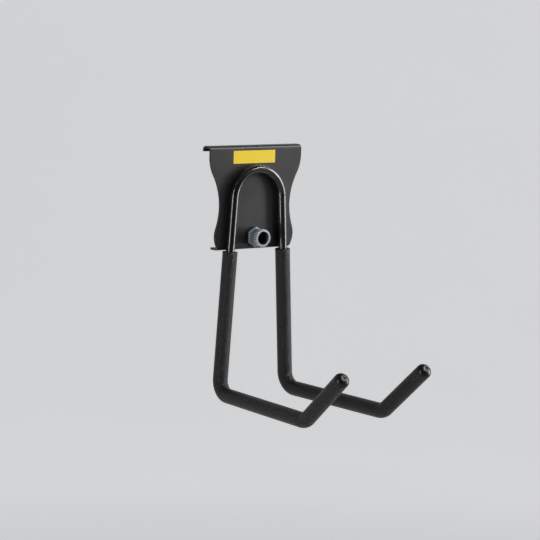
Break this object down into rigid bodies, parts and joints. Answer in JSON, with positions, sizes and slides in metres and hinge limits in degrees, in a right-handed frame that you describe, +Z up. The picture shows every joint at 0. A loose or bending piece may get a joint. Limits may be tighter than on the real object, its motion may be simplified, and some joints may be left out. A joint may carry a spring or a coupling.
{
  "type": "garage utility hook",
  "caption": "Folded steel rail bracket that carries a bent bar with soft-sleeved upturned arms, locked by a ribbed screw.",
  "frame": {"origin": "middle of the bracket plate's back face, where it lies against the rail", "axes": "+Z up, +Y into the rail and wall, the hook reaches towards -Y, X across"},
  "size_m": [0.1026, 0.2034, 0.2275],
  "materials": {
    "bracket_paint": "satin powder coat",
    "bar_paint": "semi-gloss powder coat",
    "sleeve": "matte grained",
    "knob": "moulded satin"
  },
  "bodies": {
    "hook": {"bracket": "bracket_paint", "hook_rod": "bar_paint", "sleeve_left": "sleeve", "sleeve_right": "sleeve"},
    "knob": {"lock_knob": "knob"}
  },
  "joints": [
    {"name": "knob_turn", "type": "hinge", "parent": "hook", "child": "knob", "pos_m": [0, -0.0021, -0.0354], "axis": [0, -1, 0], "range_deg": [0, 720]}
  ]
}
